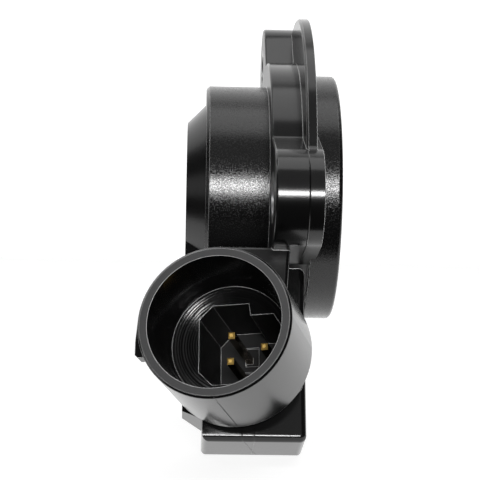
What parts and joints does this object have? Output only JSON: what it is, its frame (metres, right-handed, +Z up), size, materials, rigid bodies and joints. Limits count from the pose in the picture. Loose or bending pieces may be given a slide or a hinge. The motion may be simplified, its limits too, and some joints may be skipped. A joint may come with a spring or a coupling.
{
  "type": "throttle position sensor",
  "caption": "Rotary throttle position sensor: round drum with eared flange and pilot, sprung slotted rotor, and an angled keyed pin connector below.",
  "frame": {"origin": "on the rotor axis at the mounting face of the ears", "axes": "+X along the rotor axis out of the pilot, -Y towards the near ear and the connector mouth, +Z up as in the picture"},
  "size_m": [0.0306, 0.0632, 0.0691],
  "materials": {
    "housing_plastic": "satin black moulding, lightly textured drum and pilot",
    "cover_plastic": "satin black moulding",
    "rotor_plastic": "moulded, fine grain",
    "seal_rubber": "matt",
    "board": "resin board",
    "film": "printed carbon",
    "steel": "bright",
    "bronze": "sintered",
    "bush_steel": "turned, dull plated",
    "gold_contact": "gold flash plating"
  },
  "bodies": {
    "sensor_body": {"housing": "housing_plastic", "rear_cover": "cover_plastic", "cover_seal": "seal_rubber", "element_board": "board", "resistive_film": "film", "return_spring": "steel", "thrust_washer": "steel", "spring_washer": "steel", "front_bush": "bronze", "rear_bush": "bronze", "shaft_seal": "seal_rubber", "ear_bush_near": "bush_steel", "ear_bush_upper": "bush_steel", "ear_bush_lower": "bush_steel", "terminal_supply": "gold_contact", "terminal_signal": "gold_contact", "terminal_ground": "gold_contact"},
    "rotor_body": {"rotor": "rotor_plastic", "drive_insert": "steel", "wiper": "gold_contact"}
  },
  "joints": [
    {"name": "rotor_turn", "type": "hinge", "parent": "sensor_body", "child": "rotor_body", "pos_m": [0, 0, 0], "axis": [1, 0, 0], "range_deg": [0, 105], "stiffness_Nm_per_rad": 0.02, "springref_deg": -20.05, "deforming": ["return_spring"]}
  ]
}
